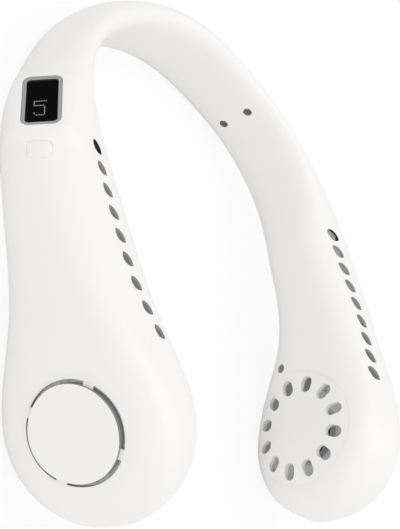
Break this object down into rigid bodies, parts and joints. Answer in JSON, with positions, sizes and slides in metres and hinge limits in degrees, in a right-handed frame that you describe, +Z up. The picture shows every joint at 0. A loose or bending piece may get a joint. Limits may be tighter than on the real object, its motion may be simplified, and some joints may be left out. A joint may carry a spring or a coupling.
{
  "type": "electric neck fan",
  "caption": "U-shaped fan worn round the neck: a rounded housing with a bladeless fan pod on each arm, slanted air outlets along the top, a small display and a power button.",
  "frame": {"origin": "centre of the fan's footprint, on the plane that the band and the two pods rest on", "axes": "+Z up, +X to the wearer's left, -Y to the front, where the arms end in the fan pods"},
  "size_m": [0.197, 0.1898, 0.0564],
  "materials": {
    "housing": "satin",
    "frame": "satin",
    "display_glass": "gloss",
    "dark_plastic": "matte",
    "button": "satin",
    "light_plastic": "matte",
    "board": "satin",
    "steel": "satin",
    "magnet": "matte",
    "core": "satin",
    "cell": "satin",
    "lead": "matte",
    "light_lead": "matte"
  },
  "bodies": {
    "housing": {"right_outer_shell": "housing", "left_outer_shell": "housing", "right_inner_shell": "housing", "left_inner_shell": "housing", "band_outer_shell": "housing", "band_inner_shell": "housing", "right_grille": "housing", "left_grille": "housing", "display_bezel": "frame", "display_glass": "display_glass", "display_module": "dark_plastic", "power_switch": "dark_plastic", "main_board": "board", "charging_socket": "steel", "right_bearings": "steel", "left_bearings": "steel", "right_stator": "core", "left_stator": "core", "right_motor_seat": "light_plastic", "left_motor_seat": "light_plastic", "right_motor_board": "board", "left_motor_board": "board", "right_fan_scroll": "light_plastic", "left_fan_scroll": "light_plastic", "right_duct_floor": "light_plastic", "left_duct_floor": "light_plastic", "right_battery_cell": "cell", "left_battery_cell": "cell", "band_harness": "lead", "right_motor_lead": "light_lead", "left_motor_lead": "light_lead", "band_screws": "steel", "pod_screws": "steel"},
    "right_rotor": {"right_impeller": "light_plastic", "right_rotor_cup": "steel", "right_magnet_ring": "magnet", "right_motor_shaft": "steel"},
    "left_rotor": {"left_impeller": "light_plastic", "left_rotor_cup": "steel", "left_magnet_ring": "magnet", "left_motor_shaft": "steel"},
    "power_button": {"power_button": "button", "switch_plunger": "button"}
  },
  "joints": [
    {"name": "right_impeller_spin", "type": "hinge", "parent": "housing", "child": "right_rotor", "pos_m": [-0.0686, -0.06429, 0.02765], "axis": [-0.9456, -0.2852, 0.1564], "continuous": true},
    {"name": "left_impeller_spin", "type": "hinge", "parent": "housing", "child": "left_rotor", "pos_m": [0.0686, -0.06429, 0.02765], "axis": [0.9456, -0.2852, 0.1564], "continuous": true},
    {"name": "power_button_press", "type": "slide", "parent": "housing", "child": "power_button", "axis": [0.7933, -0.1699, -0.5846], "range_m": [0, 0.0004], "stiffness_N_per_m": 1500}
  ]
}
